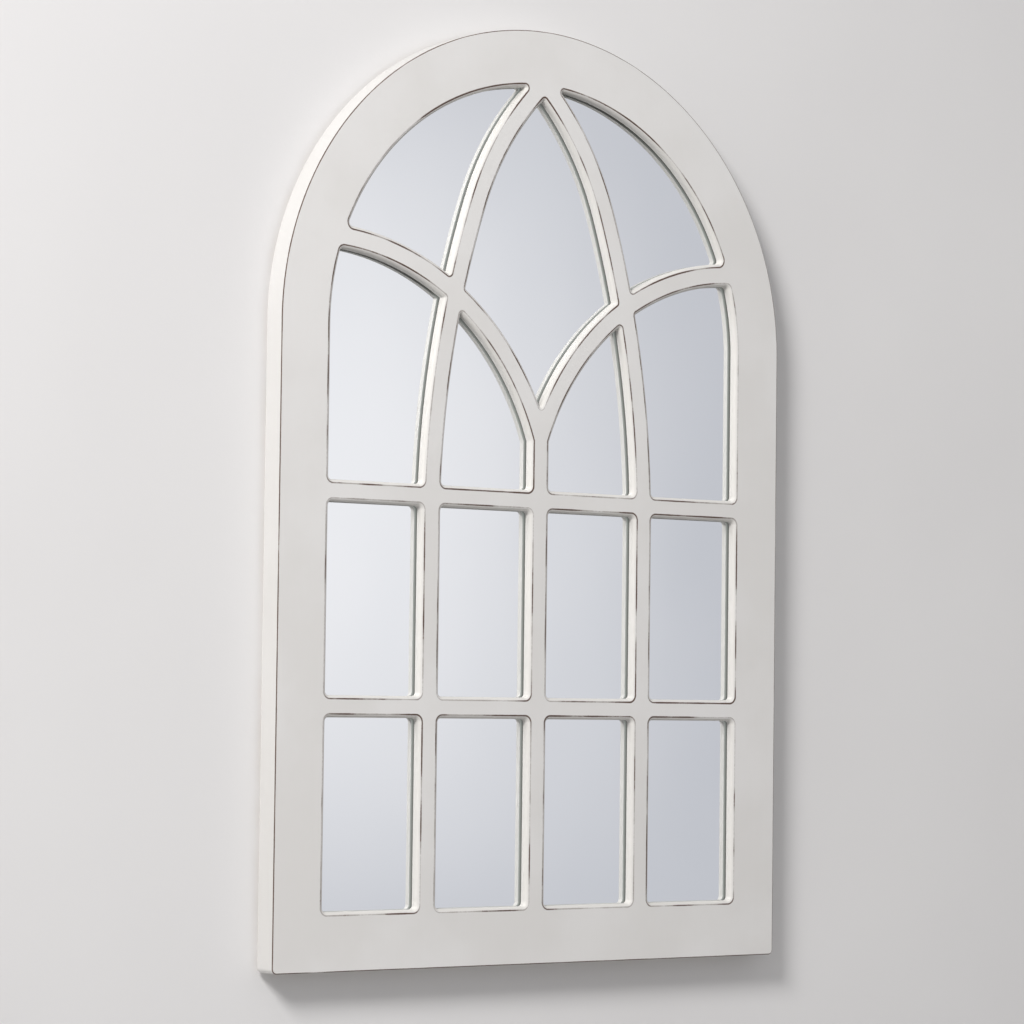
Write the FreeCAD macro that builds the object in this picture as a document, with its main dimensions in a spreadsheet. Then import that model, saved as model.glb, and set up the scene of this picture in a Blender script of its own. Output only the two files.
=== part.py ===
"""Arched window mirror: a routed panel of fifteen openings over one sheet of mirror glass.

Every body is drawn with X to the right, Y back from the panel's front face and Z up from the
lower edge. A common placement then moves the origin to the hanging point: in the wall's plane,
on the centre line, at the height where two wall hooks bear on the hanging rings.
"""
import FreeCAD, Part

import math
import os

import Sketcher
from FreeCAD import Placement, Rotation, Vector

# ---------------------------------------------------------------------------------------------
# Driving dimensions, in millimetres and degrees
# ---------------------------------------------------------------------------------------------
SIZES = {
    # the routed front panel
    "overall_width": 610,
    "straight_height": 610,
    "panel_thickness": 8.4,
    "frame_width": 56,
    "mullion_width": 23,
    "bar_width": 21,
    "row_height": 182,
    "outer_corner_radius": 5,
    "pane_corner_radius": 4,
    "tracery_corner_radius": 1,
    "outline_arris_radius": 0.8,
    "opening_arris_radius": 4,
    # tracery: branches of the centre mullion, and stems that lean from the side mullions
    "branch_split_rise": 50,
    "branch_top_rise": 83,
    "stem_spring_drop": 32,
    "stem_break_inset": 51.25,
    "stem_break_drop": 122,
    # the frame behind the panel
    "rear_depth": 17,
    "rear_width": 30,
    # what lies in the rebate
    "glass_thickness": 4,
    "glass_side_gap": 1.5,
    "glass_bottom_gap": 2,
    "setting_block_length": 30,
    "setting_block_offset": 120,
    "edge_spacer_length": 25,
    "edge_spacer_inset": 120,
    "cushion_gap": 3,
    "backing_thickness": 3.2,
    "backing_gap": 1,
    # steel plates that hold the backing board
    "clip_length": 28,
    "clip_width": 12,
    "clip_thickness": 1,
    "clip_reach": 11,
    "clip_hole_inset": 7,
    "clip_corner_radius": 2,
    "clip_side_inset": 125,
    "clip_hanger_gap": 27.75,
    "clip_bottom_offset": 130,
    # screws: shank, head, length and the cross recess
    "screw_play": 0.05,
    "pilot_end_gap": 0.3,
    "screw_tip": 3,
    "screw_head_ease": 0.6,
    "recess_depth": 1,
    "recess_half_length": 1.7,
    "recess_half_width": 0.4,
    "frame_screw_diameter": 3.5,
    "frame_screw_head": 7,
    "frame_screw_length": 22,
    "frame_screw_end_inset": 20,
    "frame_screw_bottom_offset": 210,
    "frame_screw_arch_inset": 12,
    "clip_screw_diameter": 3,
    "clip_screw_head": 6,
    "clip_screw_head_height": 1.8,
    "clip_screw_length": 10,
    "hanger_screw_diameter": 3.8,
    "hanger_screw_head": 7,
    "hanger_screw_head_height": 2,
    "hanger_screw_length": 12,
    # hangers
    "hanger_drop": 50.25,
    "strap_thickness": 1,
    "strap_width": 14,
    "strap_length": 47,
    "strap_fold_length": 32,
    "strap_first_hole": 26,
    "strap_second_hole": 40,
    "strap_corner_radius": 3,
    "ring_wire": 3.5,
    "ring_play": 0.1,
    "ring_half_width": 11,
    "ring_corner_radius": 3,
    "ring_leg": 3,
    "ring_rest_tilt": 4.5,
    # pads that touch the wall
    "bumper_diameter": 12,
    "bumper_thickness": 6,
    "bumper_inset": 26,
    "bumper_edge": 1,
}
# Rectangular panes across and up
COLUMNS, ROWS = 4, 2
# Points this near each other count as one
TOUCHING = 1e-3
ARCH_PIECES = ("rear_arch_right", "rear_arch_crown", "rear_arch_left")

# Sizes that follow from the ones above
DERIVED = {
    "half_width": "overall_width / 2",
    "opening_half": "half_width - frame_width",
    "face_half": "opening_half + opening_arris_radius",
    "half_mullion": "mullion_width / 2",
    "pane_width": f"(2 * opening_half - {COLUMNS - 1} * mullion_width) / {COLUMNS}",
    "pane_pitch": "pane_width + mullion_width",
    "row_pitch": "row_height + bar_width",
    "first_pane_right": "frame_width - half_width + pane_width",
    "first_row_top": "frame_width + row_height",
    "top_row_bottom": f"frame_width + {ROWS} * row_pitch",
    "rear_inner_half": "half_width - rear_width",
    "rear_middle": "half_width - rear_width / 2",
    "rear_back": "panel_thickness + rear_depth",
    "total_depth": "rear_back + bumper_thickness",
    "arch_piece_angle": f"180 / {len(ARCH_PIECES)}",
    # a branch is level above the inner edge of the frame's face, and crosses the centre line
    # at the split
    "branch_top": "straight_height + branch_top_rise",
    "branch_split": "top_row_bottom + branch_split_rise",
    "branch_centre_height": "(branch_top ^ 2 - branch_split ^ 2 - face_half ^ 2)"
                            " / (2 * (branch_top - branch_split))",
    "branch_radius": "branch_top - branch_centre_height",
    "branch_upper_radius": "branch_radius + half_mullion",
    "branch_lower_radius": "branch_radius - half_mullion",
    # a stem is a long arc, upright at its spring, and a tighter one that ends at the face's crown
    "peak_height": "straight_height + face_half",
    "stem_spring_height": "top_row_bottom - stem_spring_drop",
    "stem_break_height": "peak_height - stem_break_drop",
    "stem_break_rise": "stem_break_height - stem_spring_height",
    "stem_radius": "(stem_break_rise ^ 2 + stem_break_inset ^ 2) / (2 * stem_break_inset)",
    "stem_centre": "pane_pitch - stem_radius",
    "stem_outer_radius": "stem_radius + half_mullion",
    "stem_inner_radius": "stem_radius - half_mullion",
    "stem_break_sine": "stem_break_rise / stem_radius",
    "stem_break_cosine": "1 - stem_break_inset / stem_radius",
    "stem_break_offset": "pane_pitch - stem_break_inset",
    "peak_radius": "(stem_break_offset ^ 2 + stem_break_drop ^ 2)"
                   " / (2 * (stem_break_cosine * stem_break_offset - stem_break_sine * stem_break_drop))",
    "peak_centre": "stem_break_offset - peak_radius * stem_break_cosine",
    "peak_centre_height": "stem_break_height - peak_radius * stem_break_sine",
    "peak_outer_radius": "peak_radius + half_mullion",
    "peak_inner_radius": "peak_radius - half_mullion",
    # layers behind the panel
    "glass_back": "panel_thickness + glass_thickness",
    "cushion_thickness": "rear_depth - glass_thickness - backing_thickness",
    "cushion_back": "glass_back + cushion_thickness",
    "glass_half": "rear_inner_half - glass_side_gap",
    "glass_bottom": "rear_width + glass_bottom_gap",
    "cushion_half": "rear_inner_half - cushion_gap",
    "cushion_bottom": "rear_width + cushion_gap",
    "backing_half": "rear_inner_half - backing_gap",
    "backing_bottom": "rear_width + backing_gap",
    # screws and the holes that they go in
    "clip_hole_offset": "clip_length - clip_reach - clip_hole_inset",
    "clip_half_width": "clip_width / 2",
    "clip_inner_end": "clip_length - clip_hole_inset",
    "frame_screw_radius": "frame_screw_diameter / 2",
    "frame_screw_head_radius": "frame_screw_head / 2",
    "frame_screw_straight": "frame_screw_length - screw_tip",
    "clip_screw_radius": "clip_screw_diameter / 2",
    "clip_screw_head_radius": "clip_screw_head / 2",
    "clip_screw_head_flat": "clip_screw_head_radius - screw_head_ease",
    "clip_screw_head_rim": "clip_screw_head_height - screw_head_ease",
    "clip_screw_straight": "clip_screw_length - screw_tip",
    "hanger_screw_radius": "hanger_screw_diameter / 2",
    "hanger_screw_head_radius": "hanger_screw_head / 2",
    "hanger_screw_head_flat": "hanger_screw_head_radius - screw_head_ease",
    "hanger_screw_head_rim": "hanger_screw_head_height - screw_head_ease",
    "hanger_screw_straight": "hanger_screw_length - screw_tip",
    "frame_screw_hole": "frame_screw_diameter / 2 + screw_play",
    "frame_screw_sink": "(frame_screw_head - frame_screw_diameter) / 2",
    "frame_screw_pilot": "frame_screw_length - rear_depth + pilot_end_gap",
    "clip_screw_hole": "clip_screw_diameter / 2 + screw_play",
    "clip_screw_pilot": "clip_screw_length - clip_thickness + pilot_end_gap",
    "hanger_screw_hole": "hanger_screw_diameter / 2 + screw_play",
    "hanger_screw_pilot": "hanger_screw_length - strap_thickness + pilot_end_gap",
    # hangers: the ring's bar turns in the strap's fold
    "ring_radius": "ring_wire / 2",
    "ring_leg_end": "ring_corner_radius + ring_leg",
    "ring_reach": "ring_leg_end + ring_half_width",
    "fold_bore": "ring_radius + ring_play",
    "fold_outer": "fold_bore + strap_thickness",
    "strap_double": "2 * strap_thickness",
    "strap_half_width": "strap_width / 2",
    "fold_middle": "fold_outer - strap_thickness / 2",
    "strap_fold_top": "sqrt(fold_middle ^ 2 - (fold_middle - strap_thickness) ^ 2)",
    "ring_bar_half": "ring_half_width - ring_corner_radius",
    "pivot_height": "straight_height - hanger_drop",
    "hang_height": "pivot_height + ring_reach - ring_radius",
    "bumper_offset": "half_width - bumper_inset",
    "bumper_radius": "bumper_diameter / 2",
    "bumper_flat": "bumper_radius - bumper_edge",
    "bumper_rim": "bumper_thickness - bumper_edge",
}


# ---------------------------------------------------------------------------------------------
# Document and sheet
# ---------------------------------------------------------------------------------------------
doc = FreeCAD.newDocument("arched_window_mirror")
sheet = doc.addObject("Spreadsheet::Sheet", "Sizes")
for row, (name, value) in enumerate(SIZES.items(), start=1):
    sheet.set(f"A{row}", name)
    sheet.set(f"B{row}", str(value))
    sheet.setAlias(f"B{row}", name)
for row, (name, formula) in enumerate(DERIVED.items(), start=1):
    sheet.set(f"D{row}", name)
    sheet.set(f"E{row}", "=" + formula)
    sheet.setAlias(f"E{row}", name)
doc.recompute()


def size(name):
    """The sheet's value for a name, which may have a minus sign in front. "0" is nought."""
    if name == "0":
        return 0.0
    sign = -1 if name.startswith("-") else 1
    return sign * float(sheet.get(name.lstrip("-")))


def bind(target, path, *names):
    """Bind a property to the sum of the named sizes."""
    terms = [name.replace("-", "-Sizes.") if name[0] == "-" else "Sizes." + name for name in names]
    target.setExpression(path, " + ".join(terms))


def opposite(name):
    return name[1:] if name.startswith("-") else "-" + name


def signed(side, name):
    """A name on the right of the centre line, and its opposite on the left."""
    return name if side > 0 else opposite(name)


# ---------------------------------------------------------------------------------------------
# Bodies, planes and sketches
# ---------------------------------------------------------------------------------------------
def place_in_frame(part, x=(), y=(), z=()):
    """Move a part from its drawing position to the row frame, by the sheet."""
    for axis, names in (("x", x), ("y", (*y, "-total_depth")), ("z", (*z, "-hang_height"))):
        if names:
            bind(part, f"Placement.Base.{axis}", *names)


def new_body(name):
    body = doc.addObject("PartDesign::Body", name)
    body.Label = name
    return body


def new_sketch(body, name, depth=None, role="XZ_Plane"):
    """A sketch on an origin plane. On XZ, a depth moves it back from the front face."""
    sketch = body.newObject("Sketcher::SketchObject", name)
    plane = next(item for item in body.Origin.OriginFeatures if item.Role == role)
    sketch.AttachmentSupport = [(plane, "")]
    sketch.MapMode = "FlatFace"
    if depth:
        bind(sketch, "AttachmentOffset.Base.z", opposite(depth))
    return sketch


def constrain(sketch, kind, *items, name=None):
    """Add a constraint and, where its size has a name, bind it."""
    if name is None:
        sketch.addConstraint(Sketcher.Constraint(kind, *items))
        return
    index = sketch.addConstraint(Sketcher.Constraint(kind, *items, size(name)))
    bind(sketch, f"Constraints[{index}]", name)


def fix_across(sketch, geometry, point, name):
    """Fix a point's signed distance from the sketch's vertical axis."""
    if name == "0":
        constrain(sketch, "PointOnObject", geometry, point, -2)
    else:
        constrain(sketch, "DistanceX", -1, 1, geometry, point, name=name)


def fix_up(sketch, geometry, point, name):
    """Fix a point's signed distance from the sketch's horizontal axis."""
    if name == "0":
        constrain(sketch, "PointOnObject", geometry, point, -1)
    else:
        constrain(sketch, "DistanceY", -1, 1, geometry, point, name=name)


# ---------------------------------------------------------------------------------------------
# Closed outlines made of lines and arcs. A smooth edge starts tangent to the one before it,
# and takes its radius or offset from there.
# ---------------------------------------------------------------------------------------------
class Level:
    def __init__(self, height=None):
        self.height = height
        self.smooth = height is None

    def draw(self, sketch, start, end):
        line = sketch.addGeometry(Part.LineSegment(start, end), False)
        if not self.smooth:
            constrain(sketch, "Horizontal", line)
            fix_up(sketch, line, 1, self.height)
        return line, 1, 2


class Upright:
    def __init__(self, offset=None):
        self.offset = offset
        self.smooth = offset is None

    def draw(self, sketch, start, end):
        line = sketch.addGeometry(Part.LineSegment(start, end), False)
        constrain(sketch, "Vertical", line)
        if not self.smooth:
            fix_across(sketch, line, 1, self.offset)
        return line, 1, 2


class Round:
    """An arc about a centre. turn is 1 anticlockwise from its start, and -1 clockwise."""

    def __init__(self, offset, height, radius, turn, smooth=False, sized=None):
        self.offset = offset
        self.height = height
        self.radius = radius
        self.turn = turn
        self.smooth = smooth
        self.sized = not smooth if sized is None else sized

    def draw(self, sketch, start, end):
        centre = Vector(size(self.offset), size(self.height), 0)
        first, last = (start, end) if self.turn > 0 else (end, start)
        angles = [math.atan2(point.y - centre.y, point.x - centre.x) for point in (first, last)]
        if angles[1] < angles[0]:
            angles[1] += 2 * math.pi
        circle = Part.Circle(centre, Vector(0, 0, 1), size(self.radius))
        arc = sketch.addGeometry(Part.ArcOfCircle(circle, *angles), False)
        if self.sized:
            constrain(sketch, "Radius", arc, name=self.radius)
        fix_across(sketch, arc, 3, self.offset)
        fix_up(sketch, arc, 3, self.height)
        return (arc, 1, 2) if self.turn > 0 else (arc, 2, 1)


def draw_outline(sketch, edges, corners):
    """Draw a closed outline, in which each edge runs from its own corner to the next."""
    drawn = []
    for index, edge in enumerate(edges):
        start, end = corners[index], corners[(index + 1) % len(corners)]
        drawn.append(edge.draw(sketch, Vector(*start, 0), Vector(*end, 0)))
    for index, (curve, _, last) in enumerate(drawn):
        following = (index + 1) % len(drawn)
        next_curve, first, _ = drawn[following]
        kind = "Tangent" if edges[following].smooth else "Coincident"
        constrain(sketch, kind, curve, last, next_curve, first)


def draw_polygon(sketch, points):
    """Draw a closed polygon whose corners are pairs of names."""
    corners = [Vector(size(x), size(y), 0) for x, y in points]
    lines = []
    for index, corner in enumerate(corners):
        following = corners[(index + 1) % len(corners)]
        lines.append(sketch.addGeometry(Part.LineSegment(corner, following), False))
    for index, line in enumerate(lines):
        constrain(sketch, "Coincident", line, 2, lines[(index + 1) % len(lines)], 1)
        fix_across(sketch, line, 1, points[index][0])
        fix_up(sketch, line, 1, points[index][1])


def draw_rectangle(sketch, left, right, bottom, top):
    draw_polygon(sketch, [(left, bottom), (right, bottom), (right, top), (left, top)])


def draw_circle(sketch, centre, radius):
    """A circle whose centre is given as numbers and whose radius is named."""
    circle = sketch.addGeometry(Part.Circle(Vector(*centre, 0), Vector(0, 0, 1), size(radius)), False)
    constrain(sketch, "Radius", circle, name=radius)
    for kind, axis, value in (("DistanceX", -2, centre[0]), ("DistanceY", -1, centre[1])):
        if abs(value) < TOUCHING:
            constrain(sketch, "PointOnObject", circle, 3, axis)
        else:
            constrain(sketch, kind, -1, 1, circle, 3, value)


def draw_arched(sketch, half, bottom):
    """The arched outline: a level foot, two upright sides and a half circle about the springing."""
    low, spring, reach = size(bottom), size("straight_height"), size(half)
    corners = [(-reach, low), (reach, low), (reach, spring), (-reach, spring)]
    arch = Round("0", "straight_height", half, turn=1, smooth=True)
    draw_outline(sketch, [Level(bottom), Upright(half), arch, Upright()], corners)


# ---------------------------------------------------------------------------------------------
# Features
# ---------------------------------------------------------------------------------------------
def pad(body, sketch, length):
    """Pad a sketch backwards, from its plane towards the wall."""
    feature = body.newObject("PartDesign::Pad", sketch.Name + "_pad")
    feature.Profile = sketch
    feature.Reversed = True
    bind(feature, "Length", length)
    doc.recompute()
    return feature


def pocket(body, sketch, depth, backwards):
    """Cut a sketch into the body, either backwards or forwards from its plane."""
    before = body.Shape.Volume
    feature = body.newObject("PartDesign::Pocket", sketch.Name + "_pocket")
    feature.Profile = sketch
    feature.Reversed = not backwards
    bind(feature, "Length", depth)
    doc.recompute()
    if not 0 < body.Shape.Volume < before:
        raise RuntimeError(f"{feature.Name} cut nothing")
    return feature


def edges_at(shape, points, tolerance=TOUCHING):
    """Names of the edges along Y that stand at the given (x, z) points."""
    names = []
    for index, edge in enumerate(shape.Edges, start=1):
        ends = [vertex.Point for vertex in edge.Vertexes]
        if len(ends) != 2 or math.hypot(ends[0].x - ends[1].x, ends[0].z - ends[1].z) > tolerance:
            continue
        if any(math.hypot(ends[0].x - x, ends[0].z - z) < tolerance for x, z in points):
            names.append(f"Edge{index}")
    return names


def round_corners(body, name, points, radius):
    """Round the edges along Y at the given points."""
    base = body.Tip
    names = edges_at(base.Shape, points)
    if len(names) != len(points):
        raise RuntimeError(f"{name}: {len(names)} edges found for {len(points)} corners")
    feature = body.newObject("PartDesign::Fillet", name)
    feature.Base = (base, names)
    bind(feature, "Radius", radius)
    doc.recompute()


def drill(body, name, points, radius, face, depth):
    """Round holes, cut forwards from a plane at the given depth behind the front face."""
    sketch = new_sketch(body, name, face)
    for point in points:
        draw_circle(sketch, point, radius)
    pocket(body, sketch, depth, backwards=False)


def sink_holes(body, name, radius, face, sink):
    """Countersink every hole of one radius in one face."""
    base = body.Tip
    names = []
    for index, edge in enumerate(base.Shape.Edges, start=1):
        if not isinstance(edge.Curve, Part.Circle) or len(edge.Vertexes) != 1:
            continue
        same_radius = abs(edge.Curve.Radius - size(radius)) < TOUCHING
        if same_radius and abs(edge.Curve.Center.y - size(face)) < TOUCHING:
            names.append(f"Edge{index}")
    feature = body.newObject("PartDesign::Chamfer", name)
    feature.Base = (base, names)
    bind(feature, "Size", sink)
    doc.recompute()


# ---------------------------------------------------------------------------------------------
# Places of the fasteners, as (x, z) on the drawing, or as (radius, angle) on the arch
# ---------------------------------------------------------------------------------------------
def side_screw_heights():
    low = size("rear_width") + size("frame_screw_end_inset")
    high = size("straight_height") - size("frame_screw_end_inset")
    return low, (low + high) / 2, high


def side_clip_heights():
    """One clip above the bottom strip, and one below the hanger's strap."""
    strap_end = size("pivot_height") - size("strap_length")
    return size("rear_width") + size("clip_side_inset"), strap_end - size("clip_hanger_gap")


def arch_screw_angles():
    """Angles of one arch piece's frame screws, from its lower end."""
    inset = size("frame_screw_arch_inset")
    return inset, size("arch_piece_angle") - inset


def on_arch(radius, angle):
    return radius * math.cos(math.radians(angle)), radius * math.sin(math.radians(angle))


def frame_screw_places():
    places = [(side * size("rear_middle"), z) for side in (-1, 1) for z in side_screw_heights()]
    places += [(x, size("rear_width") / 2) for x in bottom_screw_offsets()]
    for piece in range(len(ARCH_PIECES)):
        for angle in arch_screw_angles():
            x, z = on_arch(size("rear_middle"), angle + piece * size("arch_piece_angle"))
            places.append((x, z + size("straight_height")))
    return places


def bottom_screw_offsets():
    offset = size("frame_screw_bottom_offset")
    return -offset, 0.0, offset


def clip_radius():
    """How far the clips' screws stand from the centre line or from the arch's centre."""
    return size("rear_inner_half") + size("clip_hole_offset")


def clip_places():
    """Each clip's hole as (x, z), and the direction that it points in, from +X towards +Z."""
    radius = clip_radius()
    places = []
    for side, turn in ((-1, 0), (1, 180)):
        places += [((side * radius, z), turn) for z in side_clip_heights()]
    low = size("rear_width") - size("clip_hole_offset")
    offset = size("clip_bottom_offset")
    places += [((x, low), 90) for x in (-offset, offset)]
    for piece in range(len(ARCH_PIECES)):
        angle = (piece + 0.5) * size("arch_piece_angle")
        x, z = on_arch(radius, angle)
        places.append(((x, z + size("straight_height")), 180 + angle))
    return places


def hanger_screw_heights():
    pivot = size("pivot_height")
    return pivot - size("strap_first_hole"), pivot - size("strap_second_hole")


# ---------------------------------------------------------------------------------------------
# Tracery: where its curves meet, and the outlines of the openings above the bars
# ---------------------------------------------------------------------------------------------
def circles_meet(one, two):
    """The higher meeting point of two circles given by their names."""
    first, second = [[size(name) for name in circle] for circle in (one, two)]
    gap_x, gap_z = second[0] - first[0], second[1] - first[1]
    gap = math.hypot(gap_x, gap_z)
    along = (first[2] ** 2 - second[2] ** 2 + gap ** 2) / (2 * gap)
    across = math.sqrt(first[2] ** 2 - along ** 2)
    foot_x, foot_z = first[0] + along * gap_x / gap, first[1] + along * gap_z / gap
    sign = 1 if gap_x < 0 else -1
    return foot_x + sign * across * gap_z / gap, foot_z - sign * across * gap_x / gap


def circle_height(circle, x):
    """The height of a circle's upper half at an x."""
    centre_x, centre_z, radius = [size(name) for name in circle]
    return centre_z + math.sqrt(radius ** 2 - (x - centre_x) ** 2)


class Tracery:
    """The curved edges on one side of the centre line. side is 1 on the right, -1 on the left."""

    arch = ("0", "straight_height", "opening_half")

    def __init__(self, side):
        self.side = side

    def branch(self, edge):
        return signed(self.side, "face_half"), "branch_centre_height", f"branch_{edge}_radius"

    def stem(self, edge):
        return signed(self.side, "stem_centre"), "stem_spring_height", f"stem_{edge}_radius"

    def peak(self, edge):
        return signed(self.side, "peak_centre"), "peak_centre_height", f"peak_{edge}_radius"

    def break_point(self, edge):
        """Where an edge of the stem passes from its long arc to the tighter one."""
        reach = size(f"stem_{edge}_radius")
        x = size("stem_centre") + reach * size("stem_break_cosine")
        return self.side * x, size("stem_spring_height") + reach * size("stem_break_sine")

    def stem_foot(self, edge):
        """Where an edge of the stem stands on the upper bar."""
        centre_x, centre_z, reach = [size(name) for name in self.stem(edge)]
        rise = size("top_row_bottom") - centre_z
        return centre_x + self.side * math.sqrt(reach ** 2 - rise ** 2), size("top_row_bottom")

    def stem_meets(self, circle, edge):
        """Where a circle crosses an edge of the stem, on whichever of its arcs is there."""
        point = circles_meet(circle, self.stem(edge))
        if point[1] > self.break_point(edge)[1]:
            return circles_meet(circle, self.peak(edge))
        return point

    def along_stem(self, edge, start, end):
        """The arcs of a stem's edge from one point to another, and the corner between them."""
        upwards = end[1] > start[1]
        turn = self.side if upwards else -self.side
        low, high = (start, end) if upwards else (end, start)
        turning = self.break_point(edge)
        if high[1] <= turning[1]:
            return [Round(*self.stem(edge), turn=turn)], []
        if low[1] >= turning[1]:
            return [Round(*self.peak(edge), turn=turn)], []
        arcs = [self.stem(edge), self.peak(edge)]
        if not upwards:
            arcs.reverse()
        return [Round(*arcs[0], turn=turn), Round(*arcs[1], turn=turn, smooth=True)], [turning]

    def outer_light(self):
        """The opening beside the frame, under a branch."""
        side, spring = self.side, size("straight_height")
        wall = side * size("opening_half")
        foot = self.stem_foot("outer")
        shoulder = circles_meet(self.branch("lower"), self.arch)
        crossing = self.stem_meets(self.branch("lower"), "outer")
        stem, between = self.along_stem("outer", crossing, foot)
        edges = [
            Level("top_row_bottom"),
            Upright(signed(side, "opening_half")),
            Round(*self.arch, turn=side, smooth=True),
            Round(*self.branch("lower"), turn=side),
            *stem,
        ]
        corners = [foot, (wall, foot[1]), (wall, spring), shoulder, crossing, *between]
        return edges, corners, [foot, (wall, foot[1]), shoulder], [crossing]

    def inner_light(self):
        """The lancet beside the centre mullion."""
        side = self.side
        wall = side * size("half_mullion")
        foot = self.stem_foot("inner")
        split = (wall, circle_height(self.branch("lower"), wall))
        tip = self.stem_meets(self.branch("lower"), "inner")
        stem, between = self.along_stem("inner", tip, foot)
        edges = [
            Level("top_row_bottom"),
            Upright(signed(side, "half_mullion")),
            Round(*self.branch("lower"), turn=-side),
            *stem,
        ]
        corners = [foot, (wall, foot[1]), split, tip, *between]
        return edges, corners, [foot, (wall, foot[1])], [tip]

    def upper_light(self):
        """The opening between a branch, a stem and the arch."""
        side = self.side
        crossing = self.stem_meets(self.branch("upper"), "outer")
        shoulder = circles_meet(self.branch("upper"), self.arch)
        tip = circles_meet(self.arch, self.peak("outer"))
        stem, between = self.along_stem("outer", tip, crossing)
        edges = [Round(*self.branch("upper"), turn=-side), Round(*self.arch, turn=side), *stem]
        corners = [crossing, shoulder, tip, *between]
        return edges, corners, [shoulder], [crossing, tip]


def centre_light():
    """The leaf on the centre line, between both branches and both stems."""
    right, left = Tracery(1), Tracery(-1)
    foot = (0.0, circle_height(right.branch("upper"), 0.0))
    top = (0.0, circle_height(right.peak("inner"), 0.0))
    crossings = [side.stem_meets(side.branch("upper"), "inner") for side in (right, left)]
    rising, rising_corners = right.along_stem("inner", crossings[0], top)
    falling, falling_corners = left.along_stem("inner", top, crossings[1])
    edges = [
        Round(*right.branch("upper"), turn=-1),
        *rising,
        *falling,
        Round(*left.branch("upper"), turn=-1),
    ]
    corners = [foot, crossings[0], *rising_corners, top, *falling_corners, crossings[1]]
    return edges, corners, [], [foot, *crossings, top]


# ---------------------------------------------------------------------------------------------
# The front panel
# ---------------------------------------------------------------------------------------------
def cut_panes(body):
    """Two rows of four rectangular openings, as one pane and its pattern."""
    pane = new_sketch(body, "pane")
    draw_rectangle(pane, "-opening_half", "first_pane_right", "frame_width", "first_row_top")
    cut = pocket(body, pane, "panel_thickness", backwards=True)
    grid = body.newObject("PartDesign::MultiTransform", "pane_grid")
    grid.Originals = [cut]
    across = body.newObject("PartDesign::LinearPattern", "panes_across")
    across.Direction = (pane, ["H_Axis"])
    across.Occurrences = COLUMNS
    up = body.newObject("PartDesign::LinearPattern", "panes_up")
    up.Direction = (pane, ["V_Axis"])
    up.Occurrences = ROWS
    for pattern, pitch in ((across, "pane_pitch"), (up, "row_pitch")):
        pattern.Mode = "Spacing"
        bind(pattern, "Offset", pitch)
    grid.Transformations = [across, up]
    body.Tip = grid
    doc.recompute()


def pane_corners():
    lefts = [-size("opening_half") + column * size("pane_pitch") for column in range(COLUMNS)]
    bottoms = [size("frame_width") + row * size("row_pitch") for row in range(ROWS)]
    return [
        (left + across, bottom + up)
        for left in lefts
        for bottom in bottoms
        for across in (0, size("pane_width"))
        for up in (0, size("row_height"))
    ]


def round_arrises(body, name, radius, openings):
    """Round the edges of the front face, either along its outline or round its openings."""
    base = body.Tip
    outline = min(base.Shape.Faces, key=lambda face: face.BoundBox.YMax).OuterWire.Edges
    names = []
    for index, edge in enumerate(base.Shape.Edges, start=1):
        in_front = max(abs(edge.BoundBox.YMin), abs(edge.BoundBox.YMax)) < TOUCHING
        if in_front and any(edge.isSame(other) for other in outline) != openings:
            names.append(f"Edge{index}")
    feature = body.newObject("PartDesign::Fillet", name)
    feature.Base = (base, names)
    bind(feature, "Radius", radius)
    doc.recompute()


def front_panel():
    body = new_body("front_panel")
    outline = new_sketch(body, "panel_outline")
    draw_arched(outline, "half_width", "0")
    pad(body, outline, "panel_thickness")
    feet = [(side * size("half_width"), 0.0) for side in (-1, 1)]
    round_corners(body, "panel_feet", feet, "outer_corner_radius")
    cut_panes(body)
    wide, tight = pane_corners(), []
    lights = {"centre_light": centre_light()}
    for side, word in ((-1, "left"), (1, "right")):
        tracery = Tracery(side)
        lights[f"outer_light_{word}"] = tracery.outer_light()
        lights[f"inner_light_{word}"] = tracery.inner_light()
        lights[f"upper_light_{word}"] = tracery.upper_light()
    for name, (edges, corners, wide_corners, tight_corners) in lights.items():
        sketch = new_sketch(body, name)
        draw_outline(sketch, edges, corners)
        pocket(body, sketch, "panel_thickness", backwards=True)
        wide += wide_corners
        tight += tight_corners
    round_corners(body, "wide_corners", wide, "pane_corner_radius")
    round_corners(body, "tight_corners", tight, "tracery_corner_radius")
    drill(body, "pilots", frame_screw_places(), "frame_screw_hole", "panel_thickness",
          "frame_screw_pilot")
    round_arrises(body, "opening_arrises", "opening_arris_radius", openings=True)
    round_arrises(body, "outline_arris", "outline_arris_radius", openings=False)
    place_in_frame(body)
    return body


# ---------------------------------------------------------------------------------------------
# The rear frame
# ---------------------------------------------------------------------------------------------
def finish_rear_piece(body, name, screws, clips, hangers=()):
    drill(body, name + "_screws", screws, "frame_screw_hole", "rear_back", "rear_depth")
    sink_holes(body, name + "_sinks", "frame_screw_hole", "rear_back", "frame_screw_sink")
    drill(body, name + "_clips", clips, "clip_screw_hole", "rear_back", "clip_screw_pilot")
    if hangers:
        drill(body, name + "_hangers", hangers, "hanger_screw_hole", "rear_back",
              "hanger_screw_pilot")


def rear_bottom_strip():
    body = new_body("rear_bottom_strip")
    sketch = new_sketch(body, "bottom_outline", "panel_thickness")
    draw_rectangle(sketch, "-half_width", "half_width", "0", "rear_width")
    pad(body, sketch, "rear_depth")
    feet = [(side * size("half_width"), 0.0) for side in (-1, 1)]
    round_corners(body, "bottom_feet", feet, "outer_corner_radius")
    screws = [(x, size("rear_width") / 2) for x in bottom_screw_offsets()]
    clips = [place for place, turn in clip_places() if turn == 90]
    finish_rear_piece(body, "bottom", screws, clips)
    place_in_frame(body)
    return body


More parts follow.
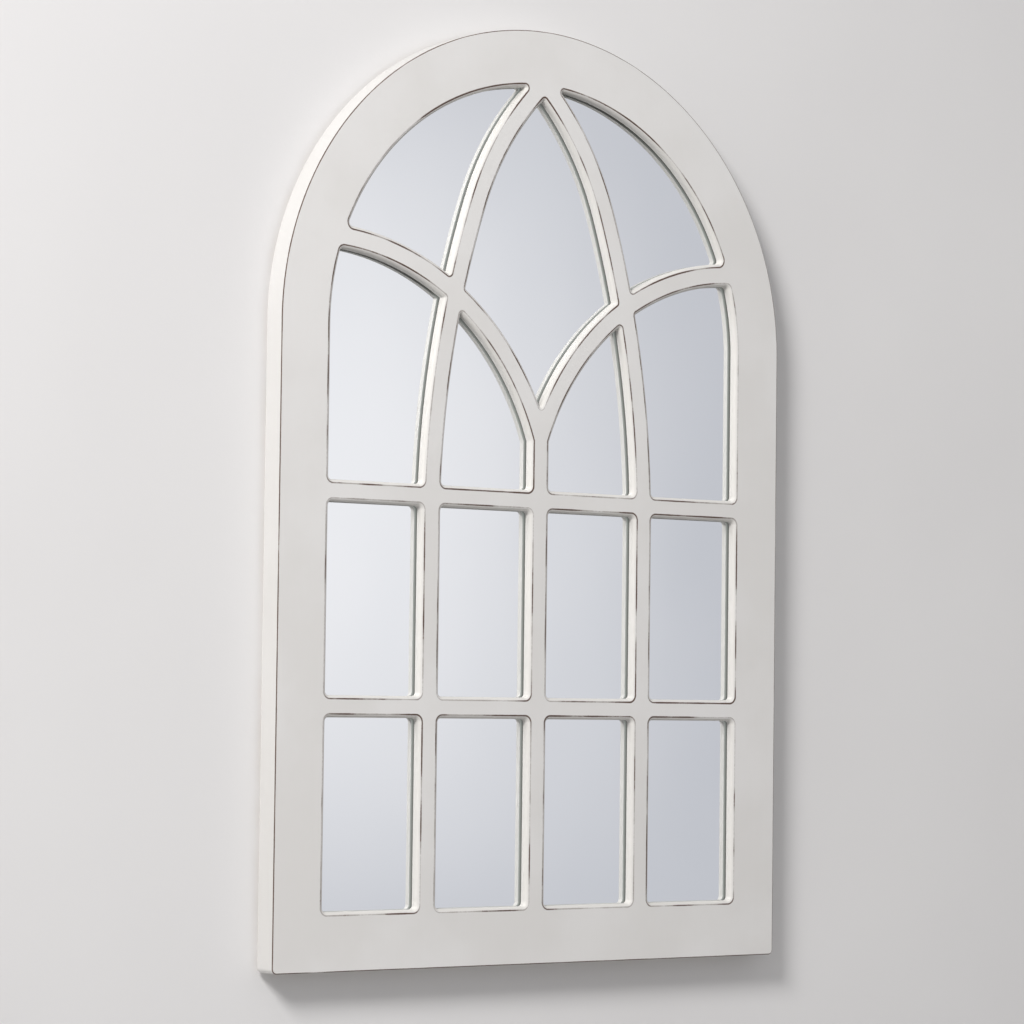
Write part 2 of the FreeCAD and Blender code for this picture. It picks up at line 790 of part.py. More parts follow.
def rear_side_strip(side, word):
    body = new_body(f"rear_side_strip_{word}")
    sketch = new_sketch(body, f"side_outline_{word}", "panel_thickness")
    left, right = sorted([signed(side, "rear_inner_half"), signed(side, "half_width")], key=size)
    draw_rectangle(sketch, left, right, "rear_width", "straight_height")
    pad(body, sketch, "rear_depth")
    middle = side * size("rear_middle")
    screws = [(middle, z) for z in side_screw_heights()]
    clips = [(side * clip_radius(), z) for z in side_clip_heights()]
    hangers = [(middle, z) for z in hanger_screw_heights()]
    finish_rear_piece(body, f"side_{word}", screws, clips, hangers)
    place_in_frame(body)
    return body


def rear_arch_piece(name, index):
    """A sixth of a ring, drawn about the arch's centre from +X upwards, then turned in place."""
    body = new_body(name)
    sketch = new_sketch(body, name + "_section", role="XY_Plane")
    draw_rectangle(sketch, "rear_inner_half", "half_width", "panel_thickness", "rear_back")
    ring = body.newObject("PartDesign::Revolution", name + "_ring")
    ring.Profile = sketch
    ring.ReferenceAxis = (sketch, ["V_Axis"])
    ring.Reversed = True
    bind(ring, "Angle", "arch_piece_angle")
    doc.recompute()
    screws = [on_arch(size("rear_middle"), angle) for angle in arch_screw_angles()]
    clips = [on_arch(clip_radius(), size("arch_piece_angle") / 2)]
    finish_rear_piece(body, name, screws, clips)
    turn = Rotation(Vector(0, -1, 0), index * size("arch_piece_angle"))
    body.Placement = Placement(Vector(), turn)
    place_in_frame(body, z=["straight_height"])
    return body


# ---------------------------------------------------------------------------------------------
# What lies in the rebate
# ---------------------------------------------------------------------------------------------
def arched_sheet(name, half, bottom, front, thickness):
    body = new_body(name)
    sketch = new_sketch(body, name + "_outline", front)
    draw_arched(sketch, half, bottom)
    pad(body, sketch, thickness)
    place_in_frame(body)
    return body


def group_of(name, master, placements):
    """One node that holds a copy of the master's solid at each placement, in drawing position."""
    solids = []
    for placement in placements:
        solid = master.Shape.copy()
        solid.Placement = placement
        solids.append(solid)
    group = doc.addObject("Part::Feature", name)
    group.Label = name
    group.Shape = Part.makeCompound(solids)
    place_in_frame(group)
    return group


def master_block(name, length, height, depth):
    """A block from the named sizes, with its corner at the origin."""
    block = doc.addObject("Part::Box", name)
    for side, names in (("Length", length), ("Width", depth), ("Height", height)):
        bind(block, side, *names)
    return block


def setting_blocks():
    """Blocks that carry the glass on the bottom strip."""
    master = master_block("setting_block", ["setting_block_length"], ["glass_bottom_gap"],
                          ["glass_thickness"])
    doc.recompute()
    half = size("setting_block_length") / 2
    places = [
        Placement(Vector(side * size("setting_block_offset") - half, size("panel_thickness"),
                         size("rear_width")), Rotation())
        for side in (-1, 1)
    ]
    return group_of("setting_blocks", master, places)


def edge_spacers():
    """Thin blocks that centre the glass between the side strips."""
    master = master_block("edge_spacer", ["glass_side_gap"], ["edge_spacer_length"],
                          ["glass_thickness"])
    doc.recompute()
    low = size("glass_bottom") + size("edge_spacer_inset")
    high = size("straight_height") - size("edge_spacer_inset") - size("edge_spacer_length")
    lefts = (-size("rear_inner_half"), size("glass_half"))
    places = [
        Placement(Vector(left, size("panel_thickness"), z), Rotation())
        for left in lefts
        for z in (low, high)
    ]
    return group_of("edge_spacers", master, places)


# ---------------------------------------------------------------------------------------------
# Screws and clips. A master stands at the origin with its seat at Y = 0 and its head towards +Y.
# ---------------------------------------------------------------------------------------------
def revolved(body, sketch):
    feature = body.newObject("PartDesign::Revolution", sketch.Name + "_turned")
    feature.Profile = sketch
    feature.ReferenceAxis = (sketch, ["V_Axis"])
    feature.Angle = 360
    doc.recompute()


def cut_recess(body, name, top):
    """The cross in a screw's head, cut forwards from the head's top."""
    sketch = new_sketch(body, name, top)
    long, short = "recess_half_length", "recess_half_width"
    quarter = [(long, short), (short, short), (short, long)]
    half = quarter + [(opposite(x), z) for x, z in reversed(quarter)]
    draw_polygon(sketch, half + [(opposite(x), opposite(z)) for x, z in half])
    pocket(body, sketch, "recess_depth", backwards=False)


def countersunk_screw(name):
    """A screw whose flat head lies flush in its seat."""
    body = new_body(name + "_master")
    sketch = new_sketch(body, name + "_profile", role="XY_Plane")
    draw_polygon(sketch, [
        ("0", "0"),
        (name + "_head_radius", "0"),
        (name + "_radius", f"-{name}_sink"),
        (name + "_radius", f"-{name}_straight"),
        ("0", f"-{name}_length"),
    ])
    revolved(body, sketch)
    cut_recess(body, name + "_recess", None)
    return body


def pan_screw(name):
    """A screw with a low head, flat under and eased at its rim."""
    body = new_body(name + "_master")
    sketch = new_sketch(body, name + "_profile", role="XY_Plane")
    draw_polygon(sketch, [
        ("0", name + "_head_height"),
        (name + "_head_flat", name + "_head_height"),
        (name + "_head_radius", name + "_head_rim"),
        (name + "_head_radius", "0"),
        (name + "_radius", "0"),
        (name + "_radius", f"-{name}_straight"),
        ("0", f"-{name}_length"),
    ])
    revolved(body, sketch)
    cut_recess(body, name + "_recess", name + "_head_height")
    return body


# ---------------------------------------------------------------------------------------------
# Clips, hangers and pads
# ---------------------------------------------------------------------------------------------
def clip_master():
    """A flat plate with its hole at the origin, that points along +X."""
    body = new_body("backing_clip_master")
    sketch = new_sketch(body, "clip_outline")
    draw_rectangle(sketch, "-clip_hole_inset", "clip_inner_end", "-clip_half_width", "clip_half_width")
    draw_circle(sketch, (0, 0), "clip_screw_hole")
    pad(body, sketch, "clip_thickness")
    ends = (-size("clip_hole_inset"), size("clip_inner_end"))
    corners = [(x, side * size("clip_half_width")) for x in ends for side in (-1, 1)]
    round_corners(body, "clip_corners", corners, "clip_corner_radius")
    return body


def upright_turn(angle):
    """A turn that takes +X towards +Z."""
    return Rotation(Vector(0, -1, 0), angle)


def backing_clips():
    places = [
        Placement(Vector(x, size("rear_back"), z), upright_turn(turn))
        for (x, z), turn in clip_places()
    ]
    return group_of("backing_clips", clip_master(), places)


def clip_screws():
    seat = size("rear_back") + size("clip_thickness")
    places = [
        Placement(Vector(x, seat, z), upright_turn(turn)) for (x, z), turn in clip_places()
    ]
    return group_of("clip_screws", pan_screw("clip_screw"), places)


def frame_screws():
    places = [
        Placement(Vector(x, size("rear_back"), z), Rotation()) for x, z in frame_screw_places()
    ]
    return group_of("frame_screws", countersunk_screw("frame_screw"), places)


def hanger_screws():
    """One screw through the strap's fold, and one through its single end, on each side."""
    seats = (
        size("rear_back") + size("strap_double"),
        size("rear_back") + size("strap_thickness"),
    )
    places = [
        Placement(Vector(side * size("rear_middle"), seat, z), Rotation())
        for side in (-1, 1)
        for z, seat in zip(hanger_screw_heights(), seats)
    ]
    return group_of("hanger_screws", pan_screw("hanger_screw"), places)


def hanger_strap(side, word):
    """A folded steel strap, drawn with the ring's pivot at the origin and its back at Y = 0."""
    body = new_body(f"hanger_strap_{word}")
    for name, length, top, thickness in (
        ("plate", "strap_length", "0", "strap_thickness"),
        ("fold", "strap_fold_length", "-strap_fold_top", "strap_double"),
    ):
        layer = new_sketch(body, f"strap_{name}_{word}")
        draw_rectangle(layer, "-strap_half_width", "strap_half_width", opposite(length), top)
        pad(body, layer, thickness)
    barrel = new_sketch(body, f"strap_barrel_{word}", "strap_half_width", role="YZ_Plane")
    draw_circle(barrel, (size("fold_outer"), 0), "fold_outer")
    feature = body.newObject("PartDesign::Pad", barrel.Name + "_pad")
    feature.Profile = barrel
    bind(feature, "Length", "strap_width")
    doc.recompute()
    corners = [(edge * size("strap_half_width"), -size("strap_length")) for edge in (-1, 1)]
    round_corners(body, f"strap_end_{word}", corners, "strap_corner_radius")
    bore = new_sketch(body, f"strap_bore_{word}", "-strap_half_width", role="YZ_Plane")
    draw_circle(bore, (size("fold_outer"), 0), "fold_bore")
    pocket(body, bore, "strap_width", backwards=True)
    holes = [(0, -size("strap_first_hole")), (0, -size("strap_second_hole"))]
    drill(body, f"strap_holes_{word}", holes, "hanger_screw_hole", "strap_double", "strap_double")
    place_in_frame(body, x=[signed(side, "rear_middle")], y=["rear_back"], z=["pivot_height"])
    return body


def hang_ring(side, word):
    """A closed D of round wire, drawn in a plane through its bar and then tilted about the bar."""
    body = new_body(f"hang_ring_{word}")
    path = new_sketch(body, f"ring_path_{word}")
    half, corner = size("ring_half_width"), size("ring_corner_radius")
    bar, leg = size("ring_bar_half"), size("ring_leg_end")
    low_bend = Round("0", "-ring_leg_end", "ring_half_width", turn=1, smooth=True, sized=True)
    corner_bends = [
        Round(offset, "-ring_corner_radius", "ring_corner_radius", turn=1, smooth=True)
        for offset in ("-ring_bar_half", "ring_bar_half")
    ]
    edges = [Level(), corner_bends[0], Upright(), low_bend, Upright(), corner_bends[1]]
    corners = [(bar, 0), (-bar, 0), (-half, -corner), (-half, -leg), (half, -leg), (half, -corner)]
    draw_outline(path, edges, corners)
    wire = new_sketch(body, f"ring_wire_{word}", role="YZ_Plane")
    draw_circle(wire, (0, 0), "ring_radius")
    sweep = body.newObject("PartDesign::AdditivePipe", f"ring_sweep_{word}")
    sweep.Profile = wire
    sweep.Spine = (path, [])
    doc.recompute()
    body.Placement = Placement(Vector(), Rotation(Vector(1, 0, 0), size("ring_rest_tilt")))
    place_in_frame(
        body,
        x=[signed(side, "rear_middle")],
        y=["rear_back", "fold_outer"],
        z=["pivot_height"],
    )
    return body


def wall_bumpers():
    """Round rubber pads on the bottom strip, eased at the rim that bears on the wall."""
    body = new_body("wall_bumper_master")
    sketch = new_sketch(body, "bumper_profile", role="XY_Plane")
    draw_polygon(sketch, [
        ("0", "0"),
        ("bumper_radius", "0"),
        ("bumper_radius", "bumper_rim"),
        ("bumper_flat", "bumper_thickness"),
        ("0", "bumper_thickness"),
    ])
    revolved(body, sketch)
    low = size("rear_width") / 2
    places = [
        Placement(Vector(side * size("bumper_offset"), size("rear_back"), low), Rotation())
        for side in (-1, 1)
    ]
    return group_of("wall_bumpers", body, places)


# ---------------------------------------------------------------------------------------------
# Build, check and write
# ---------------------------------------------------------------------------------------------
def build():
    parts = [front_panel(), rear_bottom_strip()]
    for side, word in ((-1, "left"), (1, "right")):
        parts += [rear_side_strip(side, word), hanger_strap(side, word), hang_ring(side, word)]
    parts += [rear_arch_piece(name, index) for index, name in enumerate(ARCH_PIECES)]
    parts += [
        arched_sheet("mirror_glass", "glass_half", "glass_bottom", "panel_thickness",
                     "glass_thickness"),
        arched_sheet("cushion_sheet", "cushion_half", "cushion_bottom", "glass_back",
                     "cushion_thickness"),
        arched_sheet("backing_board", "backing_half", "backing_bottom", "cushion_back",
                     "backing_thickness"),
        setting_blocks(),
        edge_spacers(),
        frame_screws(),
        backing_clips(),
        clip_screws(),
        hanger_screws(),
        wall_bumpers(),
    ]
    return parts


def check(parts):
    """Stop at any object that failed, and at any sub-part without a sound shape."""
    for item in doc.Objects:
        if {"Invalid", "Error"} & set(item.State):
            raise RuntimeError(f"{item.Name} is {item.State}")
    for part in parts:
        if part.Shape.isNull() or not part.Shape.isValid():
            raise RuntimeError(f"{part.Label} has no sound shape")


sub_parts = build()
doc.recompute()
check(sub_parts)
os.makedirs("parts", exist_ok=True)
for part in sub_parts:
    part.Shape.exportStep(f"parts/{part.Label}.step")
print(f"{len(sub_parts)} nodes written")
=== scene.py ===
"""Looks of the arched window mirror: a worn white panel over one mirror sheet, on a pale wall."""

import math

import bmesh
import bpy
import numpy as np
from mathutils import Matrix, Vector, noise
from mathutils.geometry import delaunay_2d_cdt

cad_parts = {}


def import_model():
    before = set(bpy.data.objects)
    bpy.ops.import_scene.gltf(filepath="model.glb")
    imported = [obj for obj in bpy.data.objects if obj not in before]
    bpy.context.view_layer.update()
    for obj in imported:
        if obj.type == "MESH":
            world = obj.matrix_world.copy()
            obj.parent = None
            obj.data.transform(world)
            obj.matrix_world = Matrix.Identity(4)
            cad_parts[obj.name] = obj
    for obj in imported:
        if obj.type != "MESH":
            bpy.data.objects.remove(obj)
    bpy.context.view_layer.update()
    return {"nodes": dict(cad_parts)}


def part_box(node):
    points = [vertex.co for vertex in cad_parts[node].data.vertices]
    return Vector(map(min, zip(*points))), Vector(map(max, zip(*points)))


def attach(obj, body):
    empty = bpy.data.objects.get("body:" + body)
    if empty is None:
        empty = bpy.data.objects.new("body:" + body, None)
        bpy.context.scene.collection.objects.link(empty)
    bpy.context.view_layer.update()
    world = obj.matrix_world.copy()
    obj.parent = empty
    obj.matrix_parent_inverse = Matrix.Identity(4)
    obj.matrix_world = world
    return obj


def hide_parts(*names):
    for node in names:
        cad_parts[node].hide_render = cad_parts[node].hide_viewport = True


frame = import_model()
NODES = frame["nodes"]

# Lengths are in metres, in the row frame: X to the right, Y towards the wall and Z up
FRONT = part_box("front_panel")[0].y
PANEL_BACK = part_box("front_panel")[1].y
PANEL_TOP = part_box("front_panel")[1].z
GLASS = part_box("mirror_glass")
# The direction that most of the soft light comes from
WINDOW_SIDE = (-0.64, -0.48, 0.60)


# ---------------------------------------------------------------------------------------------
# Node helpers
# ---------------------------------------------------------------------------------------------
class Nodes:
    """Adds linked nodes to one tree. Inputs given as sockets are linked, and others are set."""

    def __init__(self, tree):
        self.tree = tree
        tree.nodes.clear()

    def add(self, kind, inputs=None, **settings):
        node = self.tree.nodes.new(kind)
        for name, value in settings.items():
            setattr(node, name, value)
        for key, value in (inputs or {}).items():
            if isinstance(value, bpy.types.NodeSocket):
                self.tree.links.new(value, node.inputs[key])
            else:
                node.inputs[key].default_value = value
        return node

    def noise(self, vector, scale, detail=3.0, roughness=0.5):
        """Smooth noise, mostly between 0.3 and 0.7, with scale features per metre."""
        inputs = {"Vector": vector, "Scale": scale, "Detail": detail, "Roughness": roughness}
        return self.add("ShaderNodeTexNoise", inputs).outputs["Fac"]

    def math(self, operation, first, second=0.0, clamp=False):
        """One sum of two values, held between 0 and 1 if clamp is set."""
        node = self.add("ShaderNodeMath", {0: first, 1: second}, operation=operation)
        node.use_clamp = clamp
        return node.outputs[0]

    def span(self, value, low, high, start=0.0, end=1.0, smooth=True):
        """Map a value from low..high to start..end, and hold it at both ends."""
        node = self.add("ShaderNodeMapRange", {0: value, 1: low, 2: high, 3: start, 4: end})
        node.interpolation_type = "SMOOTHSTEP" if smooth else "LINEAR"
        return node.outputs[0]

    def mix(self, factor, first, second):
        """The first colour at factor 0 and the second at 1."""
        node = self.tree.nodes.new("ShaderNodeMix")
        node.data_type = "RGBA"
        for index, value in ((0, factor), (6, first), (7, second)):
            if isinstance(value, bpy.types.NodeSocket):
                self.tree.links.new(value, node.inputs[index])
            else:
                node.inputs[index].default_value = value
        return node.outputs[2]

    def bump(self, height, strength, distance, normal=None):
        """The normal of a surface with this height, on top of another bump's if one is given."""
        inputs = {"Height": height, "Strength": strength, "Distance": distance}
        if normal:
            inputs["Normal"] = normal
        return self.add("ShaderNodeBump", inputs).outputs["Normal"]

    def stretched(self, vector, scale):
        """Coordinates scaled differently along each axis, for streaks."""
        inputs = {"Vector": vector, "Scale": scale}
        return self.add("ShaderNodeMapping", inputs, vector_type="POINT").outputs["Vector"]


def rgb(*values):
    return (*values, 1.0)


def material(name):
    """A new material, its node helper and its object coordinates."""
    made = bpy.data.materials.new(name)
    made.use_nodes = True
    nodes = Nodes(made.node_tree)
    coordinates = nodes.add("ShaderNodeTexCoord").outputs["Object"]
    return made, nodes, coordinates


def surface(nodes, **inputs):
    """A principled surface wired to the output."""
    named = {}
    for key, value in inputs.items():
        named[key.replace("_", " ").title().replace("Ior", "IOR")] = value
    shader = nodes.add("ShaderNodeBsdfPrincipled", named)
    nodes.add("ShaderNodeOutputMaterial", {"Surface": shader.outputs[0]})


def towards_wall(nodes):
    """The Y part of the normal: 1 on a face that looks at the wall, and -1 on one at the room."""
    facing = nodes.add("ShaderNodeNewGeometry").outputs["Normal"]
    return nodes.add("ShaderNodeSeparateXYZ", {0: facing}).outputs["Y"]


# ---------------------------------------------------------------------------------------------
# Materials
# ---------------------------------------------------------------------------------------------
# The darker cream paint on the sides of the openings, and the share of it on the outer sides of
# panel and frame, where it is painted shade that tones down their light
REVEAL_CREAM_AND_SIDE_SHADE, OUTER_SIDE_SHADE_SHARE = rgb(0.672, 0.66, 0.635), 0.45
PAINT_IOR = 1.47
# How much a fine noise breaks up the rims of the worn places, and how much of the paint's colour
# is gone at them
RAGGED, RIM_SHARE = 0.34, 0.70
# The panel's back: raw board, darkened further as painted contact shade where panel meets glass,
# and the colour and strength of a painted glow on it, which stands in for light that the glass
# carries under the panel
RAW_BACK_AND_CONTACT_SHADE = rgb(0.085, 0.072, 0.062)
GLOW_COLOUR, GLOW = rgb(0.95, 1.0, 0.94), 0.45
# How rough the mirror is for light that it sends on to a painted side
SCATTERED = 0.35


def paint_layers(nodes, at):
    """Colour, roughness and height of the hand-finished satin paint."""
    blotches = nodes.noise(at, 9.0, 4.0)
    streaks = nodes.noise(nodes.stretched(at, (260.0, 260.0, 14.0)), 1.0, 3.0)
    grain = nodes.noise(at, 900.0, 2.0)
    shade = nodes.span(blotches, 0.35, 0.65)
    colour = nodes.mix(shade, rgb(0.724, 0.717, 0.706), rgb(0.762, 0.758, 0.753))
    colour = nodes.mix(nodes.math("MULTIPLY", streaks, 0.05), colour, rgb(0.62, 0.60, 0.57))
    roughness = nodes.span(nodes.math("ADD", streaks, grain), 0.7, 1.3, 0.38, 0.52)
    height = nodes.math("ADD", nodes.math("MULTIPLY", grain, 0.35), streaks)
    return colour, roughness, height


def panel_paint():
    """White paint, creamier and darker in the reveals and, as painted shade, on the outer sides,
    and rubbed through to the dark board at the arrises. The back is raw board darkened as painted
    contact shade, with a painted glow at the openings.

    The values worn, reveal and carried come from the points of the panel's mesh.
    """
    made, nodes, at = material("rubbed_paint")
    colour, satin, height = paint_layers(nodes, at)
    worn = nodes.add("ShaderNodeAttribute", attribute_name="worn").outputs["Fac"]
    reveal = nodes.add("ShaderNodeAttribute", attribute_name="reveal").outputs["Fac"]
    ragged = nodes.noise(at, 620.0, 4.0, 0.65)
    torn = nodes.math("MULTIPLY", nodes.math("SUBTRACT", ragged, 0.5), RAGGED)
    edge = nodes.math("ADD", worn, torn)
    bare = nodes.span(edge, 0.58, 0.70)
    rim = nodes.span(edge, 0.26, 0.54)
    board = nodes.mix(nodes.noise(at, 320.0), rgb(0.045, 0.024, 0.018), rgb(0.15, 0.095, 0.075))
    # The reveals take the darker cream; on the outer sides a share of it is painted shade that
    # tones them down
    colour = nodes.mix(reveal, colour, REVEAL_CREAM_AND_SIDE_SHADE)
    colour = nodes.mix(nodes.math("MULTIPLY", rim, RIM_SHARE), colour, rgb(0.27, 0.24, 0.22))
    colour = nodes.mix(bare, colour, board)
    # Painted contact shade: the back that faces the wall is raw board, darkened further so that
    # its reflection reads as the dark line where panel meets glass
    back = nodes.span(towards_wall(nodes), 0.8, 0.95)
    colour = nodes.mix(back, colour, RAW_BACK_AND_CONTACT_SHADE)
    # Painted glow: emission on the panel's back beside the openings, standing in for light that
    # the glass carries under the panel
    painted_glow = nodes.add("ShaderNodeAttribute", attribute_name="painted_glow").outputs["Fac"]
    glow = nodes.math("MULTIPLY", nodes.math("MULTIPLY", painted_glow, back), GLOW)
    roughness = nodes.math("ADD", satin, nodes.math("MULTIPLY", bare, 0.35))
    roughness = nodes.math("ADD", roughness, nodes.math("MULTIPLY", reveal, 0.12), clamp=True)
    normal = nodes.bump(height, nodes.span(reveal, 0.0, 1.0, 0.10, 0.012), 0.0003)
    normal = nodes.bump(nodes.math("SUBTRACT", 1.0, bare), 0.2, 0.0003, normal)
    surface(
        nodes,
        base_color=colour,
        roughness=roughness,
        normal=normal,
        ior=PAINT_IOR,
        # the emission is the painted glow
        emission_color=GLOW_COLOUR,
        emission_strength=glow,
    )
    return made


def frame_paint():
    """Paint on the rear frame's outside, toned down there by painted shade, and board under a thin
    mist of it at the back.
    """
    made, nodes, at = material("painted_rear_frame")
    colour, roughness, height = paint_layers(nodes, at)
    # A share of the darker cream on the frame's outside is painted shade that tones down its lit
    # sides
    colour = nodes.mix(OUTER_SIDE_SHADE_SHARE, colour, REVEAL_CREAM_AND_SIDE_SHADE)
    mist = nodes.noise(at, 60.0, 5.0, 0.6)
    back = nodes.math("ADD", towards_wall(nodes), nodes.math("MULTIPLY", mist, 0.3))
    bare = nodes.span(back, 0.62, 0.78)
    fibre = nodes.noise(at, 1400.0, 4.0, 0.7)
    board = nodes.mix(fibre, rgb(0.46, 0.405, 0.335), rgb(0.58, 0.525, 0.45))
    board = nodes.mix(nodes.span(mist, 0.36, 0.66, 0.0, 0.70), board, rgb(0.66, 0.64, 0.61))
    colour = nodes.mix(bare, colour, board)
    rough = nodes.math("ADD", roughness, nodes.math("MULTIPLY", bare, 0.3))
    normal = nodes.bump(nodes.math("ADD", height, fibre), 0.12, 0.0003)
    surface(nodes, base_color=colour, roughness=rough, normal=normal, ior=PAINT_IOR)
    return made


def silver():
    """The mirror: silver behind clear glass, with the faintest haze and dust."""
    made, nodes, at = material("silvered_glass")
    haze = nodes.noise(at, 7.0, 4.0)
    dust = nodes.noise(at, 1600.0, 2.0)
    cloudy = nodes.span(haze, 0.3, 0.7)
    colour = nodes.mix(cloudy, rgb(0.865, 0.88, 0.885), rgb(0.88, 0.892, 0.895))
    haze = nodes.math("ADD", haze, nodes.math("MULTIPLY", dust, 0.3))
    roughness = nodes.span(haze, 0.4, 0.9, 0.008, 0.03)
    # light that a painted side gets from the mirror is spread a little, so that it isn't speckled
    scattered = nodes.add("ShaderNodeLightPath").outputs["Is Diffuse Ray"]
    roughness = nodes.math("MAXIMUM", roughness, nodes.math("MULTIPLY", scattered, SCATTERED))
    normal = nodes.bump(nodes.noise(at, 5.0, 1.0), 0.015, 0.0006)
    surface(nodes, base_color=colour, metallic=1.0, roughness=roughness, normal=normal)
    return made


def hardboard():
    """Brown pressed fibre, smooth on the side that shows."""
    made, nodes, at = material("pressed_hardboard")
    fibre = nodes.noise(nodes.stretched(at, (700.0, 700.0, 380.0)), 1.0, 5.0, 0.65)
    cloud = nodes.noise(at, 14.0, 4.0)
    fleck = nodes.span(nodes.noise(at, 460.0, 3.0), 0.62, 0.72)
    colour = nodes.mix(fibre, rgb(0.17, 0.09, 0.045), rgb(0.40, 0.245, 0.14))
    colour = nodes.mix(nodes.span(cloud, 0.35, 0.7, 0.0, 0.6), colour, rgb(0.20, 0.11, 0.06))
    colour = nodes.mix(nodes.math("MULTIPLY", fleck, 0.5), colour, rgb(0.09, 0.045, 0.02))
    roughness = nodes.span(fibre, 0.3, 0.7, 0.45, 0.65)
    surface(nodes, base_color=colour, roughness=roughness, normal=nodes.bump(fibre, 0.2, 0.0003))
    return made


def felt():
    """Grey needled fibre, seen only at the edges of the cushion sheet."""
    made, nodes, at = material("grey_felt")
    fibre = nodes.noise(nodes.stretched(at, (900.0, 900.0, 300.0)), 1.0, 6.0, 0.7)
    cloud = nodes.noise(at, 40.0, 3.0)
    colour = nodes.mix(fibre, rgb(0.13, 0.13, 0.135), rgb(0.42, 0.42, 0.43))
    colour = nodes.mix(nodes.math("MULTIPLY", cloud, 0.3), colour, rgb(0.2, 0.2, 0.22))
    roughness = nodes.span(cloud, 0.3, 0.7, 0.85, 0.98)
    surface(nodes, base_color=colour, roughness=roughness, normal=nodes.bump(fibre, 0.6, 0.0005))
    return made


def rubber(name, dark, light):
    """Dull rubber with chalky patches and a fine speckle."""
    made, nodes, at = material(name)
    speckle = nodes.noise(at, 1500.0, 3.0)
    chalk = nodes.span(nodes.noise(at, 160.0, 4.0), 0.5, 0.75)
    colour = nodes.mix(chalk, dark, light)
    roughness = nodes.span(speckle, 0.3, 0.7, 0.62, 0.82)
    surface(nodes, base_color=colour, roughness=roughness, normal=nodes.bump(speckle, 0.3, 0.0002))
    return made


def zinc(name, tint, brushing):
    """Bright zinc plate: drawn or rolled grain, cloudy patches and a few dull spots."""
    made, nodes, at = material(name)
    grain = nodes.noise(nodes.stretched(at, brushing), 1.0, 4.0)
    cloud = nodes.noise(at, 240.0, 4.0)
    spots = nodes.span(nodes.noise(at, 700.0, 3.0), 0.66, 0.74)
    colour = nodes.mix(nodes.span(cloud, 0.35, 0.65), tint, rgb(0.52, 0.50, 0.46))
    colour = nodes.mix(nodes.math("MULTIPLY", spots, 0.5), colour, rgb(0.30, 0.27, 0.22))
    roughness = nodes.span(nodes.math("ADD", grain, cloud), 0.75, 1.3, 0.24, 0.46)
    normal = nodes.bump(grain, 0.12, 0.0001)
    surface(nodes, base_color=colour, metallic=1.0, roughness=roughness, normal=normal)
    return made


# ---------------------------------------------------------------------------------------------
# The panel's outlines, read from the back face of the CAD panel
# ---------------------------------------------------------------------------------------------
# Loops smaller than this, in square metres, are screw holes
SMALL_LOOP = 0.0001
# Depths and points nearer to each other than these are the same, and three points with less
# than this for twice the area between them lie on a line
SAME_DEPTH, SAME_POINT, STRAIGHT = 1e-5, 1e-9, 1e-9
# A loop's points are at most about a step apart, and an arc turns at most this far between two
STEP, FINEST_TURN = 0.002, math.radians(8)
# Chords of one arc are about as long as each other, and arcs flatter than this count as straight
LIKE_CHORDS, LARGEST_RADIUS = (0.6, 1.7), 2.0
# The least that a corner's normal is divided by
LEAST_LEAN = 0.5


def welded(mesh, digits=6):
    """Points of a mesh without doubles, and each triangle as indices of them."""
    index, points, faces = {}, [], []
    where = []
    for vertex in mesh.vertices:
        key = tuple(round(value, digits) for value in vertex.co)
        if key not in index:
            index[key] = len(points)
            points.append(key)
        where.append(index[key])
    mesh.calc_loop_triangles()
    for triangle in mesh.loop_triangles:
        faces.append([where[corner] for corner in triangle.vertices])
    return points, faces


def outline_loops(mesh, depth):
    """Closed loops of (x, z) round the part of a mesh that lies at a depth or behind it."""
    points, faces = welded(mesh)
    ahead = {}
    for face in faces:
        nearest = min(points[corner][1] for corner in face)
        if len(set(face)) < 3 or nearest < depth - SAME_DEPTH:
            continue
        for first, second in zip(face, face[1:] + face[:1]):
            if ahead.get(second) is not None and first in ahead[second]:
                ahead[second].remove(first)
            else:
                ahead.setdefault(first, []).append(second)
    loops = []
    start = next((key for key, following in ahead.items() if following), None)
    while start is not None:
        loop = [start]
        while True:
            following = ahead[loop[-1]].pop()
            if following == start:
                break
            loop.append(following)
        loops.append(np.array([(points[key][0], points[key][2]) for key in loop]))
        start = next((key for key, following in ahead.items() if following), None)
    return loops


def circle_through(a, b, c):
    """Centre of the circle through three points, or None if they lie on a line."""
    ab, ac = b - a, c - a
    twice = 2 * (ab[0] * ac[1] - ab[1] * ac[0])
    if abs(twice) < STRAIGHT:
        return None
    u = (ac[1] * ab.dot(ab) - ab[1] * ac.dot(ac)) / twice
    v = (ab[0] * ac.dot(ac) - ac[0] * ab.dot(ab)) / twice
    return a + np.array([u, v])


def refined(loop):
    """The loop with points about a step apart, on the arcs that its chords stand for."""
    count = len(loop)
    lengths = [np.linalg.norm(loop[(i + 1) % count] - loop[i]) for i in range(count)]
    made = []
    for i in range(count):
        a, b = loop[i], loop[(i + 1) % count]
        length = lengths[i]
        pieces = max(1, round(length / STEP))
        candidates = []
        for neighbour, third in ((i - 1, loop[i - 1]), ((i + 1) % count, loop[(i + 2) % count])):
            if LIKE_CHORDS[0] < lengths[neighbour] / length < LIKE_CHORDS[1]:
                centre = circle_through(a, b, third)
                if centre is not None:
                    candidates.append(centre)
        centre = max(candidates, key=lambda c: np.linalg.norm(a - c), default=a)
        radius = np.linalg.norm(a - centre)
        curved = 0 < radius < LARGEST_RADIUS
        if curved:
            turn = 2 * math.asin(min(length / 2 / radius, 1.0))
            pieces = max(pieces, math.ceil(turn / FINEST_TURN))
        for k in range(pieces):
            point = a + (b - a) * k / pieces
            if curved:
                point = centre + (point - centre) * radius / np.linalg.norm(point - centre)
            made.append(point)
    return np.array(made)


